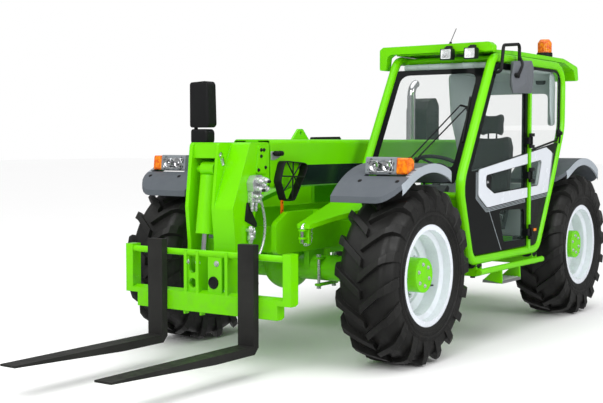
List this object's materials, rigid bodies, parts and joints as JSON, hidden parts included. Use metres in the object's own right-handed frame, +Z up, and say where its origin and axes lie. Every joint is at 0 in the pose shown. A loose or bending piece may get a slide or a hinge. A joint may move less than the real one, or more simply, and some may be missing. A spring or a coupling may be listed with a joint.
{
  "type": "telehandler",
  "caption": "Compact telescopic handler with a side cab, a lifting and extending boom, a tilting fork carriage and steered lugged wheels.",
  "frame": {"origin": "on the ground under the middle of the machine's bounding box", "axes": "+X forward, +Y to the driver's left, +Z up"},
  "size_m": [5.372, 2.124, 2.2253],
  "materials": {
    "lime_paint": "gloss",
    "pale_paint": "gloss",
    "black_steel": "matte",
    "cast_iron": "matte",
    "grey_plastic": "matte",
    "black_plastic": "matte",
    "seat_fabric": "matte",
    "lamp_clear": "gloss",
    "lamp_amber": "gloss",
    "glass": "gloss",
    "chrome": "polished",
    "steel": "brushed",
    "tyre": "matte"
  },
  "bodies": {
    "chassis": {"chassis_frame": "lime_paint", "front_axle": "lime_paint", "rear_axle": "lime_paint", "engine": "cast_iron", "engine_tray": "lime_paint", "rear_body": "lime_paint", "front_decks": "lime_paint", "front_mudguards": "grey_plastic", "rear_mudguards": "grey_plastic", "headlamps": "lamp_clear", "amber_lamps": "lamp_amber", "cab_frame": "lime_paint", "cab_panels": "black_plastic", "cab_cowl": "lime_paint", "quarter_trim": "pale_paint", "cab_roof": "lime_paint", "cab_glass": "glass", "seat": "seat_fabric", "console": "black_plastic", "right_mirrors": "black_plastic", "work_lamps": "lamp_clear", "air_cleaner": "black_plastic", "exhaust_pipe": "chrome", "step": "lime_paint", "tow_jaws": "black_steel"},
    "steering_wheel": {"steering_wheel": "black_plastic"},
    "boom": {"boom_outer": "lime_paint"},
    "boom_extension": {"boom_inner": "lime_paint", "boom_head": "lime_paint", "coupler_block": "steel"},
    "carriage": {"carriage": "lime_paint", "forks": "black_steel"},
    "tilt_barrel": {"tilt_barrel": "lime_paint"},
    "tilt_rod": {"tilt_rod": "chrome"},
    "lift_barrel": {"lift_barrel": "lime_paint"},
    "lift_rod": {"lift_rod": "chrome"},
    "door": {"door_panel": "black_plastic", "door_trim": "pale_paint", "door_glass": "glass", "door_mirror": "grey_plastic"},
    "engine_hood": {"engine_hood": "lime_paint"},
    "knuckle_fl": {"knuckle_fl": "lime_paint"},
    "wheel_fl": {"rim_fl": "pale_paint", "tyre_fl": "tyre"},
    "knuckle_fr": {"knuckle_fr": "lime_paint"},
    "wheel_fr": {"rim_fr": "pale_paint", "tyre_fr": "tyre"},
    "knuckle_rl": {"knuckle_rl": "lime_paint"},
    "wheel_rl": {"rim_rl": "pale_paint", "tyre_rl": "tyre"},
    "knuckle_rr": {"knuckle_rr": "lime_paint"},
    "wheel_rr": {"rim_rr": "pale_paint", "tyre_rr": "tyre"}
  },
  "joints": [
    {"name": "front_steer_left", "type": "hinge", "parent": "chassis", "child": "knuckle_fl", "pos_m": [0.544, 0.69, 0.57], "axis": [0, 0, 1], "range_deg": [-28, 28]},
    {"name": "wheel_fl_spin", "type": "hinge", "parent": "knuckle_fl", "child": "wheel_fl", "pos_m": [0.544, 0.862, 0.57], "axis": [0, 1, 0], "continuous": true},
    {"name": "front_steer_right", "type": "hinge", "parent": "chassis", "child": "knuckle_fr", "pos_m": [0.544, -0.69, 0.57], "axis": [0, 0, 1], "range_deg": [-28, 28]},
    {"name": "wheel_fr_spin", "type": "hinge", "parent": "knuckle_fr", "child": "wheel_fr", "pos_m": [0.544, -0.862, 0.57], "axis": [0, 1, 0], "continuous": true},
    {"name": "rear_steer_left", "type": "hinge", "parent": "chassis", "child": "knuckle_rl", "pos_m": [-2.066, 0.69, 0.57], "axis": [0, 0, -1], "range_deg": [-28, 28]},
    {"name": "wheel_rl_spin", "type": "hinge", "parent": "knuckle_rl", "child": "wheel_rl", "pos_m": [-2.066, 0.862, 0.57], "axis": [0, 1, 0], "continuous": true},
    {"name": "rear_steer_right", "type": "hinge", "parent": "chassis", "child": "knuckle_rr", "pos_m": [-2.066, -0.69, 0.57], "axis": [0, 0, -1], "range_deg": [-28, 28]},
    {"name": "wheel_rr_spin", "type": "hinge", "parent": "knuckle_rr", "child": "wheel_rr", "pos_m": [-2.066, -0.862, 0.57], "axis": [0, 1, 0], "continuous": true},
    {"name": "boom_lift", "type": "hinge", "parent": "chassis", "child": "boom", "pos_m": [-2.336, -0.06, 1.27], "axis": [0, -1, 0], "range_deg": [0, 65]},
    {"name": "boom_extend", "type": "slide", "parent": "boom", "child": "boom_extension", "axis": [1, 0, 0], "range_m": [0, 2.3]},
    {"name": "carriage_tilt", "type": "hinge", "parent": "boom_extension", "child": "carriage", "pos_m": [1.269, -0.06, 0.545], "axis": [0, 1, 0], "range_deg": [-15, 100]},
    {"name": "tilt_barrel_pivot", "type": "hinge", "parent": "boom_extension", "child": "tilt_barrel", "pos_m": [1.234, -0.1655, 1.24], "axis": [0, -1, 0], "range_deg": [-1, 2]},
    {"name": "tilt_rod_slide", "type": "slide", "parent": "tilt_barrel", "child": "tilt_rod", "axis": [0.1403, 0, -0.9901], "range_m": [-0.03, 0.17]},
    {"name": "lift_barrel_pivot", "type": "hinge", "parent": "chassis", "child": "lift_barrel", "pos_m": [-2.096, -0.06, 0.87], "axis": [0, -1, 0], "range_deg": [0, 64]},
    {"name": "lift_rod_slide", "type": "slide", "parent": "lift_barrel", "child": "lift_rod", "axis": [0.9938, 0, 0.1111], "range_m": [0, 0.51]},
    {"name": "door_hinge", "type": "hinge", "parent": "chassis", "child": "door", "pos_m": [-1.052, 1.032, 1.25], "axis": [0, 0, 1], "range_deg": [0, 95]},
    {"name": "hood_hinge", "type": "hinge", "parent": "chassis", "child": "engine_hood", "pos_m": [-0.771, -0.324, 1.215], "axis": [-1, 0, 0], "range_deg": [0, 50]},
    {"name": "steering_wheel_turn", "type": "hinge", "parent": "chassis", "child": "steering_wheel", "pos_m": [-0.466, 0.585, 1.225], "axis": [-0.4695, 0, 0.8829], "continuous": true}
  ],
  "couplings": [
    {"joint": "front_steer_right", "follows": "front_steer_left", "ratio": 1},
    {"joint": "rear_steer_right", "follows": "rear_steer_left", "ratio": 1},
    {"joint": "tilt_barrel_pivot", "follows": "carriage_tilt", "ratio": 0.01},
    {"joint": "tilt_rod_slide", "follows": "carriage_tilt", "m_per_rad": 0.0941},
    {"joint": "lift_barrel_pivot", "follows": "boom_lift", "ratio": 0.9714},
    {"joint": "lift_rod_slide", "follows": "boom_lift", "m_per_rad": 0.4386}
  ]
}
